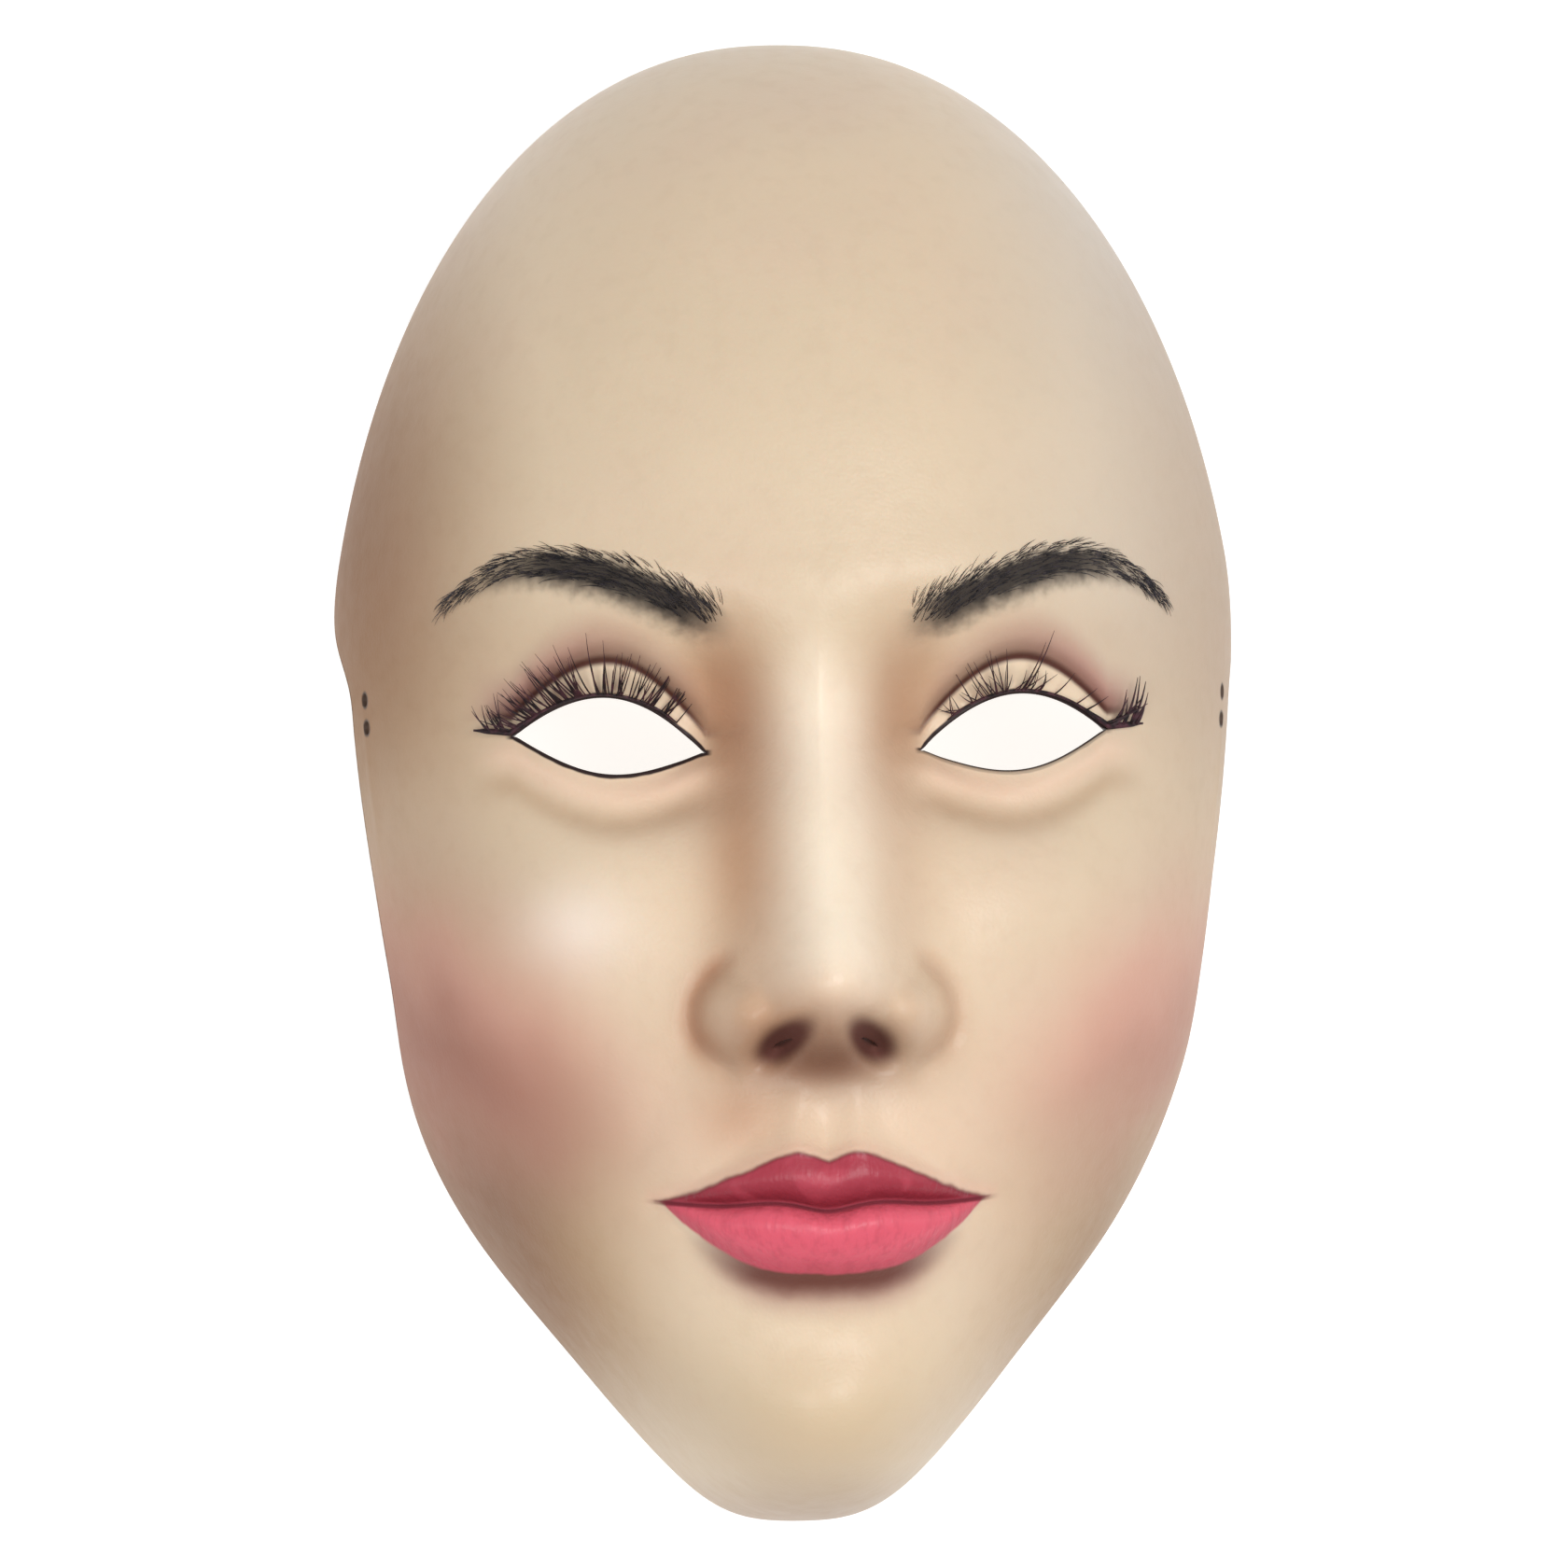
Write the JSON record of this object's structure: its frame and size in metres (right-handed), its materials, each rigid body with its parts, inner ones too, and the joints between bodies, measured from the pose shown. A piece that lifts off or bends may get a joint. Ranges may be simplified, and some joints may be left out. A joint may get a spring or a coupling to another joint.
{
  "type": "realistic female face mask",
  "caption": "Full-face mask of painted latex rubber, moulded as a calm female face, with cut eye openings and false lashes.",
  "frame": {"origin": "middle of the rim's plane: the mask lies face up on its rim at z = 0", "axes": "+Z out of the face, +Y to the crown, +X to the right as the face is looked at"},
  "size_m": [0.1452, 0.24, 0.1035],
  "materials": {
    "painted_latex": "satin, airbrushed skin tones and painted make-up over cream latex",
    "lash_fibre": "fine dark synthetic hair"
  },
  "bodies": {
    "root": {"mask_shell": "painted_latex", "lash_strip_left": "lash_fibre", "lash_strip_right": "lash_fibre"}
  },
  "joints": []
}
